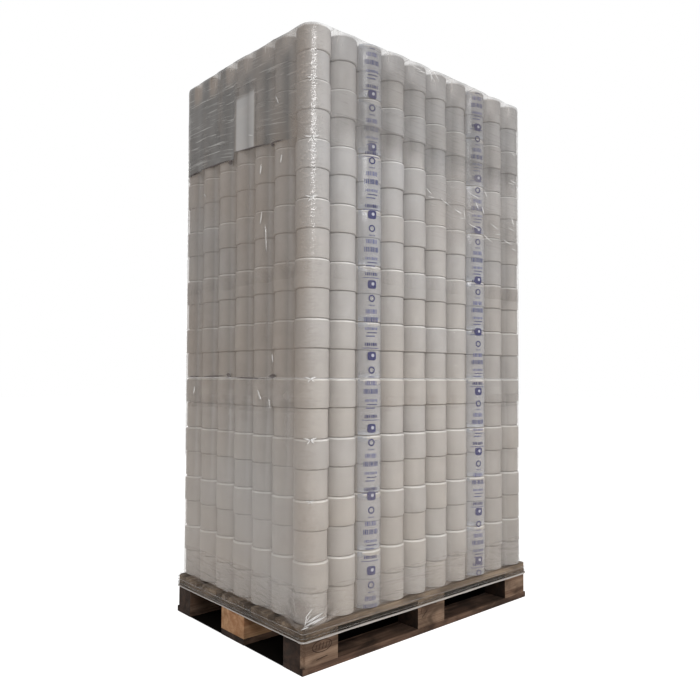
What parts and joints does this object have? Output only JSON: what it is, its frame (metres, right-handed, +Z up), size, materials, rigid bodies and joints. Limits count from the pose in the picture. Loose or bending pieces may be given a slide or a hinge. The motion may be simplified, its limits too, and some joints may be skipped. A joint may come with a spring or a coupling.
{
  "type": "palletised load of toilet paper roll packs",
  "caption": "Wooden pallet stacked high with clear-wrapped packs of toilet rolls standing on end, the whole load bound in clear stretch film.",
  "frame": {"origin": "on the floor, under the middle of the whole outline, so along the middle of the pallet's length and 14 mm behind the middle of its width", "axes": "+Z up; +X along the pallet's long side, to the right as seen from the front; +Y from the front long side to the back one"},
  "size_m": [1.2024, 0.8308, 2.0902],
  "materials": {
    "deck_timber": "weathered sawn softwood",
    "block_timber": "weathered, stained end grain",
    "new_timber": "fresh sawn softwood",
    "base_timber": "dark, dirty sawn softwood",
    "nail_steel": "dull, lightly rusted",
    "wrapped_rolls": "white tissue under clear glossy film",
    "stretch_film": "clear stretched film, glossy and creased"
  },
  "bodies": {
    "root": {"deck_board_1": "deck_timber", "deck_board_2": "deck_timber", "deck_board_3": "deck_timber", "deck_board_4": "deck_timber", "deck_board_5": "deck_timber", "stringer_board_left": "deck_timber", "stringer_board_centre": "deck_timber", "stringer_board_right": "deck_timber", "block_front_left": "block_timber", "block_front_centre": "block_timber", "block_front_right": "block_timber", "block_middle_left": "new_timber", "block_middle_centre": "block_timber", "block_middle_right": "block_timber", "block_back_left": "block_timber", "block_back_centre": "block_timber", "block_back_right": "block_timber", "base_board_front": "base_timber", "base_board_middle": "base_timber", "base_board_back": "base_timber", "deck_nails": "nail_steel", "stringer_nails": "nail_steel", "base_nails": "nail_steel", "packs_layer_01_stack_1": "wrapped_rolls", "packs_layer_01_stack_2": "wrapped_rolls", "packs_layer_02_stack_1": "wrapped_rolls", "packs_layer_02_stack_2": "wrapped_rolls", "packs_layer_03_stack_1": "wrapped_rolls", "packs_layer_03_stack_2": "wrapped_rolls", "packs_layer_04_stack_1": "wrapped_rolls", "packs_layer_04_stack_2": "wrapped_rolls", "packs_layer_05_stack_1": "wrapped_rolls", "packs_layer_05_stack_2": "wrapped_rolls", "packs_layer_06_stack_1": "wrapped_rolls", "packs_layer_06_stack_2": "wrapped_rolls", "packs_layer_07_stack_1": "wrapped_rolls", "packs_layer_07_stack_2": "wrapped_rolls", "packs_layer_08_stack_1": "wrapped_rolls", "packs_layer_08_stack_2": "wrapped_rolls", "packs_layer_09_stack_1": "wrapped_rolls", "packs_layer_09_stack_2": "wrapped_rolls", "packs_layer_10_stack_1": "wrapped_rolls", "packs_layer_10_stack_2": "wrapped_rolls", "stretch_wrap": "stretch_film"}
  },
  "joints": []
}
